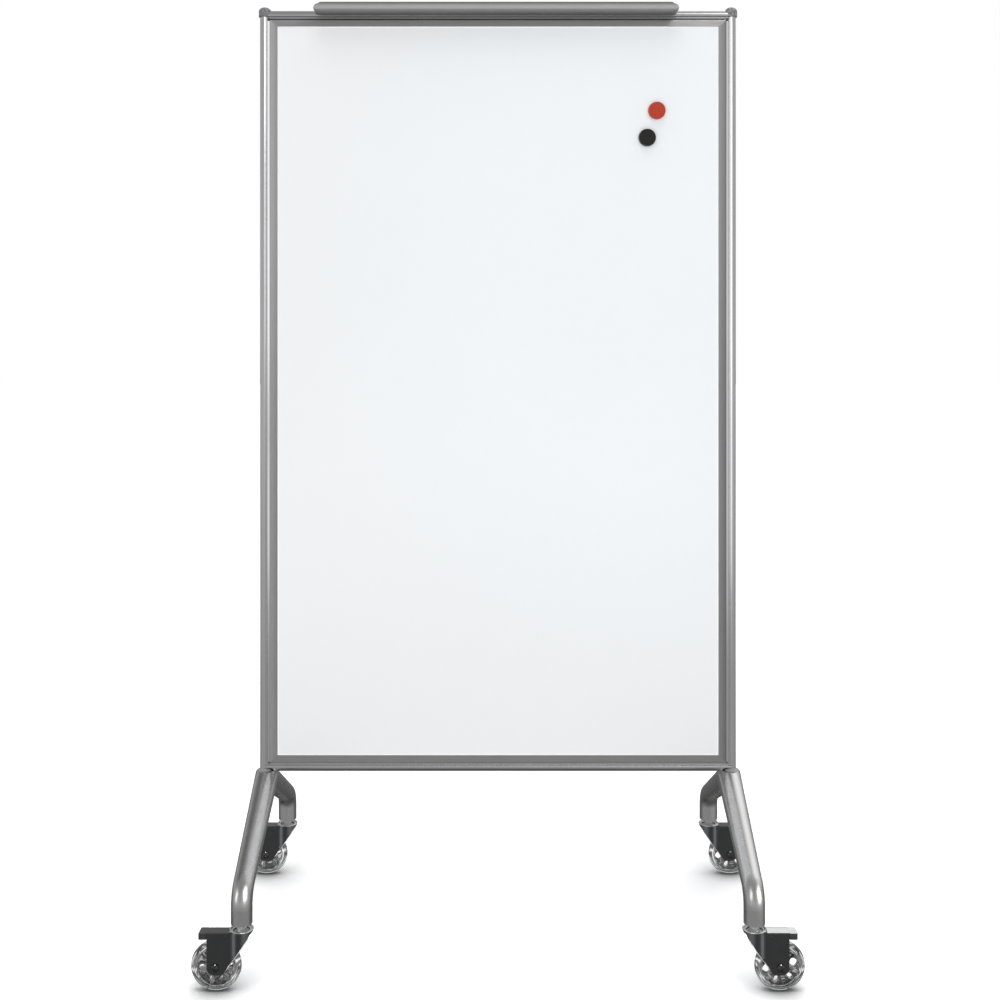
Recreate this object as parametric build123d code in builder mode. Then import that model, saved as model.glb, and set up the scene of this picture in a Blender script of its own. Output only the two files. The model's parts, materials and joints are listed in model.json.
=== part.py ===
from build123d import *
import os
from math import sin, cos, tan, degrees, atan, atan2, sqrt, pi

os.makedirs("parts", exist_ok=True)

# Rolling whiteboard on two forked feet with four braked swivel casters.
# Frame: +Z up, +X to the right of someone facing the writing side, front is -Y.
# Origin: on the floor, under the middle of the board.  All lengths in mm.

# ---- welded frame -------------------------------------------------------
UPRIGHT_X = 461.0          # upright axis from the middle
TUBE_R = 9.525             # frame tube, 3/4 inch
TUBE_BORE_R = 7.0
GROOVE_R = 1.5             # round bottom groove that parts the tube into two lobes
GROOVE_AT_R = 9.75
GROOVE_IN = 4.2            # groove offset towards the board
UPRIGHT_BOTTOM = 283.0
UPRIGHT_TOP = 1810.0
TOP_RAIL_Z = 1799.6
BOTTOM_RAIL_Z = 316.0

CAP_R = 12.05
CAP_BOTTOM = 1796.5
CAP_TOP = 1815.5

# ---- board --------------------------------------------------------------
PANEL_X = 434.8            # half width of the visible writing face
PANEL_BOTTOM = 339.9
PANEL_TOP = 1776.9
TRIM_OUT_X = 449.9
TRIM_BOTTOM = 325.6
TRIM_TOP = 1790.0
TRIM_HALF_DEPTH = 9.0
TRIM_WALL = 1.5
SKIN = 0.7
CORE_X = 440.0
CORE_BOTTOM = 336.0
CORE_TOP = 1780.6
SCREW_XS = (-300.0, 0.0, 300.0)

# ---- feet ---------------------------------------------------------------
FOOT_X = 457.2             # plane of each forked foot
STEM_Y = 252.3             # caster axis from the middle, front and back
STEM_R = 19.05             # leg tube at the caster, 1 1/2 inch
CROWN_R = 23.2             # leg tube at the crown
LEG_WALL = 2.2
CROWN_Z = 296.0            # leg axis height over the middle
LEG_SLOPE = 0.49
BEND_R = 40.0
LEG_END_Z = 119.5
CROWN_FLAT_Z = 309.5

# ---- casters ------------------------------------------------------------
WHEEL_R = 45.0
TRAIL = 45.0
WHEEL_HALF = 10.5
CORE_OUT_R = 36.0
CHEEK_OUT = 13.2
SHEET = 1.8
CUP_R = 20.7
CUP_RIM_Z = 109.4
PLATE_TOP = 101.5
PLATE_T = 3.0
CHEEK_END = 60.0
CHEEK_TOP = 105.3
PEDAL_TOP = 105.8
PEDAL_SKIRT = 95.0
PEDAL_END = 75.0
PIVOT_U, PIVOT_Z = 27.0, 99.6
AXLE_R = 4.0
BEARING_R = 11.0
BEARING_W = 7.0

# ---- marker tray --------------------------------------------------------
TRAY_LEFT = -360.7
TRAY_RIGHT = 353.4
TRAY_END = 10.7
TRAY_HALF = 35.0
TRAY_BOTTOM = 1800.0
TRAY_TOP = 1818.0
TRAY_WALL = 2.0

# ---- magnets ------------------------------------------------------------
MAGNET_R = 17.5
MAGNET_H = 8.0
RED_AT = (313.3, 1611.1)
BLACK_AT = (294.3, 1557.8)


def rounded_loop(corners):
    """Closed outline in the current BuildLine through (x, y, radius) corners, each rounded by its radius."""
    n = len(corners)
    cuts = []
    for i in range(n):
        x, y, r = corners[i]
        px, py, _ = corners[i - 1]
        qx, qy, _ = corners[(i + 1) % n]
        if r <= 0:
            cuts.append(((x, y), None, (x, y)))
            continue
        lp, lq = sqrt((px - x) ** 2 + (py - y) ** 2), sqrt((qx - x) ** 2 + (qy - y) ** 2)
        a = ((px - x) / lp, (py - y) / lp)
        b = ((qx - x) / lq, (qy - y) / lq)
        half = 0.5 * abs(atan2(a[0] * b[1] - a[1] * b[0], a[0] * b[0] + a[1] * b[1]))
        back, reach = r / tan(half), r / sin(half)
        m = sqrt((a[0] + b[0]) ** 2 + (a[1] + b[1]) ** 2)
        mid = (x + (a[0] + b[0]) / m * (reach - r), y + (a[1] + b[1]) / m * (reach - r))
        cuts.append(((x + a[0] * back, y + a[1] * back), mid, (x + b[0] * back, y + b[1] * back)))
    for i in range(n):
        start, mid, end = cuts[i]
        if mid is not None:
            ThreePointArc(start, mid, end)
        Line(end, cuts[(i + 1) % n][0])


def save(built, label):
    built.part.label = label
    export_step(built.part, "parts/" + label + ".step")


# =========================================================================
# Welded frame: two uprights and two rails of grooved round tube
# =========================================================================
GROOVE_Y = sqrt(GROOVE_AT_R ** 2 - GROOVE_IN ** 2)

for side, label in ((-1, "upright_left"), (1, "upright_right")):
    with BuildPart() as upright:
        with BuildSketch(Plane((side * UPRIGHT_X, 0, UPRIGHT_BOTTOM))) as sk:
            Circle(TUBE_R)
            with Locations((-side * GROOVE_IN, GROOVE_Y), (-side * GROOVE_IN, -GROOVE_Y)):
                Circle(GROOVE_R, mode=Mode.SUBTRACT)
            fillet(sk.vertices().filter_by_position(Axis.X, side * UPRIGHT_X - 8, side * UPRIGHT_X + 8), 0.7)
            Circle(TUBE_BORE_R, mode=Mode.SUBTRACT)
        extrude(amount=UPRIGHT_TOP - UPRIGHT_BOTTOM)
    save(upright, label)

for z, inward, label in ((TOP_RAIL_Z, -1, "top_rail"), (BOTTOM_RAIL_Z, 1, "bottom_rail")):
    with BuildPart() as rail:
        rail_plane = Plane(origin=(-UPRIGHT_X, 0, z), x_dir=(0, 1, 0), z_dir=(1, 0, 0))
        with BuildSketch(rail_plane) as sk:
            Circle(TUBE_R)
            with Locations((GROOVE_Y, inward * GROOVE_IN), (-GROOVE_Y, inward * GROOVE_IN)):
                Circle(GROOVE_R, mode=Mode.SUBTRACT)
            fillet(sk.vertices(), 0.7)
            Circle(TUBE_BORE_R, mode=Mode.SUBTRACT)
        extrude(amount=2 * UPRIGHT_X)
        # saddle cuts over the uprights
        with BuildSketch(Plane.XY.offset(z - 15)):
            with Locations((-UPRIGHT_X, 0), (UPRIGHT_X, 0)):
                Circle(TUBE_R + 0.03)
        extrude(amount=30, mode=Mode.SUBTRACT)
        # screw hole in the wall towards the board, wider access hole in the far wall
        with BuildSketch(Plane.XY.offset(z)):
            with Locations(*[(x, 0) for x in SCREW_XS]):
                Circle(2.6)
        extrude(amount=inward * 12, mode=Mode.SUBTRACT)
        with BuildSketch(Plane.XY.offset(z)):
            with Locations(*[(x, 0) for x in SCREW_XS]):
                Circle(4.5)
        extrude(amount=-inward * 12, mode=Mode.SUBTRACT)
    save(rail, label)

# Domed end caps over the upright tops, notched where the top rail arrives
with BuildPart() as upright_caps:
    for side in (-1, 1):
        cap_plane = Plane(origin=(side * UPRIGHT_X, 0, 0), x_dir=(1, 0, 0), z_dir=(0, -1, 0))
        with BuildSketch(cap_plane):
            with BuildLine():
                Polyline((TUBE_R + 0.05, CAP_BOTTOM), (CAP_R - 0.5, CAP_BOTTOM), (CAP_R, CAP_BOTTOM + 0.5), (CAP_R, CAP_TOP - 6.4))
                ThreePointArc((CAP_R, CAP_TOP - 6.4), (9.2, CAP_TOP - 2.1), (1.5, CAP_TOP))
                Polyline((1.5, CAP_TOP), (0, CAP_TOP), (0, UPRIGHT_TOP + 0.1), (TUBE_R + 0.05, UPRIGHT_TOP + 0.1), (TUBE_R + 0.05, CAP_BOTTOM))
            make_face()
        revolve(axis=Axis((side * UPRIGHT_X, 0, 0), (0, 0, 1)))
    with BuildSketch(Plane(origin=(-UPRIGHT_X, 0, TOP_RAIL_Z), x_dir=(0, 1, 0), z_dir=(1, 0, 0))):
        Circle(TUBE_R + 0.1)
        with Locations((0, -5)):
            Rectangle(2 * TUBE_R + 0.2, 10)
    extrude(amount=2 * UPRIGHT_X, mode=Mode.SUBTRACT)
save(upright_caps, "upright_caps")

# =========================================================================
# Forked feet: two tapered legs meeting at a crown, open at the caster ends
# =========================================================================
SLOPE_A = atan(LEG_SLOPE)
LEG_DIR = (cos(SLOPE_A), -sin(SLOPE_A))            # (y, z) down the leg
LEG_LEN = STEM_Y / cos(SLOPE_A)
BEND_TURN = pi / 2 - SLOPE_A
BEND_T = BEND_R * tan(BEND_TURN / 2)
BEND_START = (LEG_DIR[0] * (LEG_LEN - BEND_T), CROWN_Z + LEG_DIR[1] * (LEG_LEN - BEND_T))
BEND_CENTRE = (STEM_Y - BEND_R, BEND_START[1] - BEND_R * cos(SLOPE_A))
BEND_END_Z = BEND_CENTRE[1]
CROWN_BACK = 30.0                                  # run of each leg past the middle before trimming


def leg_pair(x, wall):
    """Solid of one foot: the rear leg, trimmed at the middle, and its mirror image."""
    extra = CROWN_BACK * (CROWN_R - STEM_R) / (LEG_LEN - BEND_T)
    with BuildPart() as legs:
        start = (-LEG_DIR[0] * CROWN_BACK, CROWN_Z - LEG_DIR[1] * CROWN_BACK)
        with BuildSketch(Plane(origin=(x, start[0], start[1]), x_dir=(1, 0, 0), z_dir=(0, LEG_DIR[0], LEG_DIR[1]))):
            Circle(CROWN_R + extra - wall)
        with BuildSketch(Plane(origin=(x, BEND_START[0], BEND_START[1]), x_dir=(1, 0, 0), z_dir=(0, LEG_DIR[0], LEG_DIR[1]))):
            Circle(STEM_R - wall)
        loft()
        with BuildSketch(Plane(origin=(x, BEND_START[0], BEND_START[1]), x_dir=(1, 0, 0), z_dir=(0, LEG_DIR[0], LEG_DIR[1]))):
            Circle(STEM_R - wall)
        revolve(axis=Axis((x, BEND_CENTRE[0], BEND_CENTRE[1]), (-1, 0, 0)), revolution_arc=degrees(BEND_TURN))
        with BuildSketch(Plane((x, STEM_Y, BEND_END_Z))):
            Circle(STEM_R - wall)
        extrude(amount=-(BEND_END_Z - LEG_END_Z + (5 if wall else 0)))
        split(bisect_by=Plane.XZ, keep=Keep.BOTTOM)
        mirror(about=Plane.XZ)
    return legs


for side, label in ((-1, "foot_left"), (1, "foot_right")):
    x = side * FOOT_X
    outer = leg_pair(x, 0.0)
    inner = leg_pair(x, LEG_WALL)
    with BuildPart() as foot:
        add(outer.part)
        # flat land on top of the crown
        with BuildSketch(Plane.XY.offset(CROWN_FLAT_Z)):
            with Locations((x, 0)):
                Rectangle(80, 120)
        extrude(amount=40, mode=Mode.SUBTRACT)
        land = foot.faces().filter_by(Axis.Z).sort_by(Axis.Z)[-1]
        fillet(land.edges(), 1.8)
        add(inner.part, mode=Mode.SUBTRACT)
        # socket for the upright, welded inside the crown
        with BuildSketch(Plane((side * UPRIGHT_X, 0, 268))):
            Circle(14.0)
        extrude(amount=CROWN_FLAT_Z - 268)
        with BuildSketch(Plane((side * UPRIGHT_X, 0, UPRIGHT_BOTTOM))):
            Circle(TUBE_R + 0.04)
        extrude(amount=60, mode=Mode.SUBTRACT)
        # saddle for the bottom rail
        with BuildSketch(Plane(origin=(side * UPRIGHT_X, 0, BOTTOM_RAIL_Z), x_dir=(0, 1, 0), z_dir=(1, 0, 0))):
            Circle(TUBE_R + 0.08)
        extrude(amount=-side * 40, mode=Mode.SUBTRACT)
        # shallow dished recess around the upright
        dish_plane = Plane(origin=(side * UPRIGHT_X, 0, 0), x_dir=(1, 0, 0), z_dir=(0, -1, 0))
        with BuildSketch(dish_plane):
            with BuildLine():
                Line((TUBE_R - 1, CROWN_FLAT_Z - 4.2), (TUBE_R + 0.6, CROWN_FLAT_Z - 4.2))
                ThreePointArc((TUBE_R + 0.6, CROWN_FLAT_Z - 4.2), (12.6, CROWN_FLAT_Z - 3.0), (14.2, CROWN_FLAT_Z + 0.1))
                Polyline((14.2, CROWN_FLAT_Z + 0.1), (TUBE_R - 1, CROWN_FLAT_Z + 0.1), (TUBE_R - 1, CROWN_FLAT_Z - 4.2))
            make_face()
        revolve(axis=Axis((side * UPRIGHT_X, 0, 0), (0, 0, 1)), mode=Mode.SUBTRACT)
        # bolt hole and spot face under the crown
        with BuildSketch(Plane((side * UPRIGHT_X, 0, 250))):
            Circle(4.3)
        extrude(amount=40, mode=Mode.SUBTRACT)
        with BuildSketch(Plane((side * UPRIGHT_X, 0, 240))):
            Circle(8.2)
        extrude(amount=36.0, mode=Mode.SUBTRACT)
    save(foot, label)

# M8 bolts up through the crowns and the threaded inserts they hold in the uprights
with BuildPart() as crown_bolts:
    for side in (-1, 1):
        with BuildSketch(Plane((side * UPRIGHT_X, 0, 268.2))) as sk:
            Circle(6.5)
            RegularPolygon(3.0, 6, mode=Mode.SUBTRACT)
        extrude(amount=5.0)
        with BuildSketch(Plane((side * UPRIGHT_X, 0, 273.2))):
            Circle(6.5)
        extrude(amount=2.7)
        with BuildSketch(Plane((side * UPRIGHT_X, 0, 275.9))):
            Circle(4.0)
        extrude(amount=30.0)
save(crown_bolts, "crown_bolts")

with BuildPart() as upright_inserts:
    for side in (-1, 1):
        with BuildSketch(Plane((side * UPRIGHT_X, 0, UPRIGHT_BOTTOM + 0.3))):
            Circle(TUBE_BORE_R - 0.03)
            Circle(4.03, mode=Mode.SUBTRACT)
        extrude(amount=24.0)
save(upright_inserts, "upright_inserts")

# Round plugs closing the leg ends and carrying the caster stems
with BuildPart() as leg_plugs:
    for sx in (-1, 1):
        for sy in (-1, 1):
            with BuildSketch(Plane((sx * FOOT_X, sy * STEM_Y, LEG_END_Z + 0.6))):
                Circle(STEM_R - LEG_WALL - 0.03)
                Circle(6.03, mode=Mode.SUBTRACT)
            extrude(amount=26.0)
save(leg_plugs, "leg_plugs")

# =========================================================================
# Board: two steel faces on a honeycomb core, in mitred channel trim
# =========================================================================
for sy, label in ((-1, "front_skin"), (1, "back_skin")):
    y_in = TRIM_HALF_DEPTH - TRIM_WALL - SKIN
    with BuildPart() as skin:
        with BuildSketch(Plane.XZ.offset(-sy * y_in)):
            with Locations((0, (1787.0 + 328.6) / 2)):
                Rectangle(2 * 446.5, 1787.0 - 328.6)
        extrude(amount=-sy * (SKIN - 0.02))
    save(skin, label)

with BuildPart() as board_core:
    with BuildSketch(Plane.XZ):
        with Locations((0, (CORE_TOP + CORE_BOTTOM) / 2)):
            Rectangle(2 * CORE_X, CORE_TOP - CORE_BOTTOM)
    extrude(amount=TRIM_HALF_DEPTH - TRIM_WALL - SKIN - 0.02, both=True)
save(board_core, "board_core")

OUT = [(-TRIM_OUT_X, TRIM_BOTTOM), (TRIM_OUT_X, TRIM_BOTTOM), (TRIM_OUT_X, TRIM_TOP), (-TRIM_OUT_X, TRIM_TOP)]
IN = [(-PANEL_X, PANEL_BOTTOM), (PANEL_X, PANEL_BOTTOM), (PANEL_X, PANEL_TOP), (-PANEL_X, PANEL_TOP)]
WEB_X = TRIM_OUT_X - TRIM_WALL
WEB_B = TRIM_BOTTOM + TRIM_WALL
WEB_T = TRIM_TOP - TRIM_WALL
MID_Z = (TRIM_TOP + TRIM_BOTTOM) / 2

for k, label in ((0, "trim_bottom"), (1, "trim_right"), (2, "trim_top"), (3, "trim_left")):
    a, b, c, d = OUT[k], OUT[(k + 1) % 4], IN[(k + 1) % 4], IN[k]
    with BuildPart() as trim:
        with BuildSketch(Plane.XZ):
            with BuildLine():
                Polyline(a, b, c, d, a)
            make_face()
        extrude(amount=TRIM_HALF_DEPTH, both=True)
        along = Axis.X if k in (0, 2) else Axis.Z
        face_edges = trim.edges().filter_by(along)
        fillet(face_edges.filter_by_position(Axis.Y, -9.1, -8.9) + face_edges.filter_by_position(Axis.Y, 8.9, 9.1), 0.9)
        # channel that takes the panel, the corner keys and the screw anchors
        with BuildSketch(Plane.XZ):
            with Locations((0, (WEB_B + WEB_T) / 2)):
                Rectangle(2 * WEB_X, WEB_T - WEB_B)
        extrude(amount=TRIM_HALF_DEPTH - TRIM_WALL, both=True, mode=Mode.SUBTRACT)
        if k in (0, 2):
            with BuildSketch(Plane.XY.offset(TRIM_BOTTOM - 3 if k == 0 else WEB_T - 3)):
                with Locations(*[(x, 0) for x in SCREW_XS]):
                    Circle(2.6)
            extrude(amount=7.5, mode=Mode.SUBTRACT)
    save(trim, label)

# L-shaped keys inside the four mitred corners
with BuildPart() as corner_keys:
    for sx in (-1, 1):
        for zc, dz in ((WEB_B + 0.1, 1), (WEB_T - 0.1, -1)):
            xc = sx * (WEB_X - 0.1)
            with BuildSketch(Plane.XZ):
                with BuildLine():
                    Polyline((xc, zc), (xc - sx * 45, zc), (xc - sx * 45, zc + dz * 7), (xc - sx * 7.6, zc + dz * 7),
                             (xc - sx * 7.6, zc + dz * 45), (xc, zc + dz * 45), (xc, zc))
                make_face()
            extrude(amount=6.6, both=True)
save(corner_keys, "corner_keys")

# Tapped anchors in the top and bottom trim, and the screws that hold the board to the rails
with BuildPart() as board_anchors:
    for x in SCREW_XS:
        for z0 in (WEB_B + 0.1, WEB_T - 7.4):
            with BuildSketch(Plane((x, 0, z0))):
                Rectangle(24, 13)
                Circle(2.53, mode=Mode.SUBTRACT)
            extrude(amount=7.3)
save(board_anchors, "board_anchors")

with BuildPart() as board_screws:
    for x in SCREW_XS:
        for z, up in ((TOP_RAIL_Z, -1), (BOTTOM_RAIL_Z, 1)):
            seat = z + up * 5.65
            with BuildSketch(Plane((x, 0, seat))):
                Circle(4.0)
                RegularPolygon(1.7, 6, mode=Mode.SUBTRACT)
            extrude(amount=-up * 2.6)
            with BuildSketch(Plane((x, 0, seat))):
                Circle(2.5)
            extrude(amount=up * 12.6)
            with BuildSketch(Plane((x, 0, seat))):
                Circle(4.0)
            extrude(amount=-up * 0.9)
save(board_screws, "board_screws")

# =========================================================================
# Marker tray: double trough extrusion that straddles the top rail
# =========================================================================
MID = (TRAY_TOP + TRAY_BOTTOM) / 2
SADDLE_R = 10.6


def tray_outline(hollow):
    """Tray section in the current sketch, local x along Y and local y up, both in row coordinates."""
    with Locations((0, MID)):
        RectangleRounded(2 * TRAY_HALF, TRAY_TOP - TRAY_BOTTOM, 8.9)
    if hollow:
        with Locations((0, MID)):
            RectangleRounded(2 * (TRAY_HALF - TRAY_WALL), TRAY_TOP - TRAY_BOTTOM - 2 * TRAY_WALL, 6.9, mode=Mode.SUBTRACT)
        with Locations((0, MID + 10)):
            Rectangle(2 * TRAY_HALF - 14.5, 20, mode=Mode.SUBTRACT)
        with Locations((0, TOP_RAIL_Z)):
            Circle(SADDLE_R + TRAY_WALL)
    with Locations((0, TOP_RAIL_Z)):
        Circle(SADDLE_R, mode=Mode.SUBTRACT)
    with Locations((0, TRAY_BOTTOM - 10)):
        Rectangle(100, 20, mode=Mode.SUBTRACT)


with BuildPart() as marker_tray:
    with BuildSketch(Plane(origin=(TRAY_LEFT + TRAY_END, 0, 0), x_dir=(0, 1, 0), z_dir=(1, 0, 0))):
        tray_outline(True)
    extrude(amount=TRAY_RIGHT - TRAY_LEFT - 2 * TRAY_END)
save(marker_tray, "marker_tray")

with BuildPart() as tray_end_caps:
    for x0, sx in ((TRAY_LEFT + TRAY_END, -1), (TRAY_RIGHT - TRAY_END, 1)):
        with BuildSketch(Plane(origin=(x0, 0, 0), x_dir=(0, 1, 0), z_dir=(1, 0, 0))):
            tray_outline(False)
        extrude(amount=sx * TRAY_END)
    # nose of both caps: cut back to the top and to the underside
    with BuildSketch(Plane.XZ):
        with BuildLine():
            Polyline((TRAY_LEFT + 5.2, TRAY_BOTTOM), (TRAY_RIGHT - 5.2, TRAY_BOTTOM))
            ThreePointArc((TRAY_RIGHT - 5.2, TRAY_BOTTOM), (TRAY_RIGHT - 1.4, TRAY_BOTTOM + 2.8), (TRAY_RIGHT, TRAY_BOTTOM + 7.4))
            ThreePointArc((TRAY_RIGHT, TRAY_BOTTOM + 7.4), (TRAY_RIGHT - 2.6, TRAY_BOTTOM + 13.6), (TRAY_RIGHT - TRAY_END + 0.6, TRAY_TOP + 0.1))
            Polyline((TRAY_RIGHT - TRAY_END + 0.6, TRAY_TOP + 0.1), (TRAY_LEFT + TRAY_END - 0.6, TRAY_TOP + 0.1))
            ThreePointArc((TRAY_LEFT + TRAY_END - 0.6, TRAY_TOP + 0.1), (TRAY_LEFT + 2.6, TRAY_BOTTOM + 13.6), (TRAY_LEFT, TRAY_BOTTOM + 7.4))
            ThreePointArc((TRAY_LEFT, TRAY_BOTTOM + 7.4), (TRAY_LEFT + 1.4, TRAY_BOTTOM + 2.8), (TRAY_LEFT + 5.2, TRAY_BOTTOM))
        make_face()
    extrude(amount=60, both=True, mode=Mode.INTERSECT)
save(tray_end_caps, "tray_end_caps")

with BuildPart() as tray_pads:
    for x in (-250.0, 215.0):
        with BuildSketch(Plane(origin=(x, 0, 0), x_dir=(0, 1, 0), z_dir=(1, 0, 0))):
            with Locations((0, TOP_RAIL_Z)):
                Circle(SADDLE_R - 0.02)
                Circle(TUBE_R + 0.04, mode=Mode.SUBTRACT)
            with Locations((0, TRAY_BOTTOM - 9)):
                Rectangle(100, 20, mode=Mode.SUBTRACT)
        extrude(amount=45)
save(tray_pads, "tray_pads")

# =========================================================================
# Two round magnets on the writing face
# =========================================================================
FACE_Y = -(TRIM_HALF_DEPTH - TRIM_WALL) - 0.05
for (mx, mz), name in ((RED_AT, "red_magnet"), (BLACK_AT, "black_magnet")):
    with BuildPart() as cap:
        with BuildSketch(Plane(origin=(mx, FACE_Y, mz), x_dir=(1, 0, 0), z_dir=(0, 0, 1))):
            # local x is the radius, local y runs along the row's Y
            with BuildLine():
                Polyline((0, -4.6), (0, -MAGNET_H + 1.6))
                ThreePointArc((0, -MAGNET_H + 1.6), (7.0, -MAGNET_H + 1.3), (13.4, -MAGNET_H + 0.25))
                ThreePointArc((13.4, -MAGNET_H + 0.25), (14.9, -MAGNET_H), (16.3, -MAGNET_H + 0.8))
                Polyline((16.3, -MAGNET_H + 0.8), (MAGNET_R - 0.2, -1.0), (MAGNET_R, 0), (9.6, 0), (9.6, -4.6), (0, -4.6))
            make_face()
        revolve(axis=Axis((mx, FACE_Y, mz), (0, 1, 0)))
    save(cap, name + "_cap")
    with BuildPart() as disc:
        with BuildSketch(Plane(origin=(mx, FACE_Y - 0.1, mz), x_dir=(1, 0, 0), z_dir=(0, -1, 0))):
            Circle(9.5)
        extrude(amount=4.4)
    save(disc, name + "_disc")

# =========================================================================
# Casters.  Local u runs outwards from the swivel axis, the way the wheel trails.
# =========================================================================


def caster(tag, cx, cy, s):
    """Build and write the eight nodes of one caster; s is -1 on the left and +1 on the right."""

    def plan(h):
        return Plane(origin=(cx, cy, h), x_dir=(s, 0, 0), z_dir=(0, 0, 1))

    def side(y):
        # local x is u, local y is up
        return Plane(origin=(cx, cy + y, 0), x_dir=(s, 0, 0), z_dir=(0, -s, 0))

    def across(y):
        # centred on the axle, local x is u, local y is up, normal along -+Y
        return Plane(origin=(cx + s * TRAIL, cy + y, WHEEL_R), x_dir=(s, 0, 0), z_dir=(0, -s, 0))

    swivel = Axis((cx, cy, 0), (0, 0, 1))
    axle = Axis((cx + s * TRAIL, cy, WHEEL_R), (0, 1, 0))
    radial = Plane(origin=(cx + s * TRAIL, cy, WHEEL_R), x_dir=(1, 0, 0), z_dir=(0, 0, 1))  # x radius, y along the axle

    # kingpin: threaded shank, neck, race flange, pin and riveted collar
    with BuildPart() as stem:
        with BuildSketch(Plane(origin=(cx, cy, 0), x_dir=(1, 0, 0), z_dir=(0, -1, 0))):
            with BuildLine():
                Polyline((0, 94), (7.5, 94), (8.5, 95), (8.5, 98.3), (5, 98.3), (5, 104.6), (14, 104.6), (14, 105.8),
                         (9.9, 107.2), (9, 109), (9, 119.4), (8.4, 120.0), (6, 120.0), (6, 144), (5, 145), (0, 145), (0, 94))
            make_face()
        revolve(axis=swivel)
    save(stem, "caster_" + tag + "_stem")

    # swivel balls between the race flange and the fork plate
    with BuildPart() as balls:
        with Locations(plan(103.05)):
            with PolarLocations(11.4, 16):
                Sphere(1.5)
    save(balls, "caster_" + tag + "_balls")

    # pressed fork: round cup at the swivel, flat cheeks to the axle
    with BuildPart() as fork:
        with BuildSketch(plan(20)):
            Circle(CUP_R)
            with Locations((CHEEK_END / 2, 0)):
                Rectangle(CHEEK_END, 2 * CHEEK_OUT)
        extrude(amount=CUP_RIM_Z - 20)
        with BuildSketch(side(0)):
            with BuildLine():
                rounded_loop([(-CUP_R, CUP_RIM_Z, 0), (-CUP_R, CUP_RIM_Z - 2.2, 0), (31.8, 31.6, 9), (CHEEK_END, 31.6, 13),
                              (CHEEK_END, CHEEK_TOP, 0), (CUP_R, CHEEK_TOP, 0), (CUP_R, CUP_RIM_Z, 0)])
            make_face()
        extrude(amount=30, both=True, mode=Mode.INTERSECT)
        # inside of the fork under the swivel plate
        with BuildSketch(plan(20)):
            Circle(CUP_R - SHEET)
            with Locations(((CHEEK_END + 2) / 2, 0)):
                Rectangle(CHEEK_END + 2, 2 * (CHEEK_OUT - SHEET))
        extrude(amount=PLATE_TOP - PLATE_T - 20, mode=Mode.SUBTRACT)
        # open cup over the plate
        with BuildSketch(plan(PLATE_TOP)):
            Circle(CUP_R - SHEET)
        extrude(amount=20, mode=Mode.SUBTRACT)
        # slot between the cheeks behind the cup, where the pedal sits
        with BuildSketch(plan(PLATE_TOP - PLATE_T - 1)):
            with Locations(((CHEEK_END + 2) / 2, 0)):
                Rectangle(CHEEK_END + 2, 2 * (CHEEK_OUT - SHEET))
            Circle(CUP_R, mode=Mode.SUBTRACT)
        extrude(amount=20, mode=Mode.SUBTRACT)
        with BuildSketch(plan(PLATE_TOP - PLATE_T - 1)):
            Circle(AXLE_R + 1.05)
        extrude(amount=PLATE_T + 2, mode=Mode.SUBTRACT)
        with BuildSketch(across(0)):
            Circle(AXLE_R + 0.03)
        extrude(amount=20, both=True, mode=Mode.SUBTRACT)
        with BuildSketch(side(0)):
            with Locations((PIVOT_U, PIVOT_Z)):
                Circle(1.53)
        extrude(amount=20, both=True, mode=Mode.SUBTRACT)
        # rolled rim of the cup
        with BuildSketch(Plane(origin=(cx, cy, 0), x_dir=(1, 0, 0), z_dir=(0, -1, 0))):
            with Locations((CUP_R - 0.3, CUP_RIM_Z)):
                Circle(1.0)
        revolve(axis=swivel)
    save(fork, "caster_" + tag + "_fork")

    # pedal: hollow cover between the cheeks with a wide lip behind them and a brake shoe
    with BuildPart() as pedal:
        with BuildSketch(plan(PEDAL_SKIRT)):
            with Locations(((14 + 62) / 2, 0)):
                Rectangle(62 - 14, 2 * (CHEEK_OUT - SHEET - 0.3))
            with Locations(((60.7 + PEDAL_END) / 2, 0)):
                Rectangle(PEDAL_END - 60.7, 2 * CHEEK_OUT)
            Circle(CUP_R + 0.8, mode=Mode.SUBTRACT)
        extrude(amount=PEDAL_TOP - PEDAL_SKIRT)
        lip = pedal.edges().filter_by(Axis.Z).group_by(Axis.X)[-1 if s > 0 else 0]
        fillet(lip, 2.5)
        top = pedal.faces().filter_by(Axis.Z).sort_by(Axis.Z)[-1]
        fillet(top.edges(), 0.8)
        with BuildSketch(plan(PEDAL_SKIRT - 1)):
            with Locations(((25 + 61.5) / 2, 0)):
                Rectangle(61.5 - 25, 2 * (CHEEK_OUT - SHEET - 1.8))
            with Locations(((60 + PEDAL_END - 1.8) / 2, 0)):
                Rectangle(PEDAL_END - 1.8 - 60, 2 * (CHEEK_OUT - SHEET - 1.8))
        extrude(amount=PEDAL_TOP - 2.2 - PEDAL_SKIRT + 1, mode=Mode.SUBTRACT)
        with BuildSketch(plan(91.9)):
            with Locations((45, 0)):
                Rectangle(11, 15)
        extrude(amount=12.2)
        with BuildSketch(side(0)):
            with Locations((PIVOT_U, PIVOT_Z)):
                Circle(1.56)
        extrude(amount=20, both=True, mode=Mode.SUBTRACT)
    save(pedal, "caster_" + tag + "_pedal")

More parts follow.
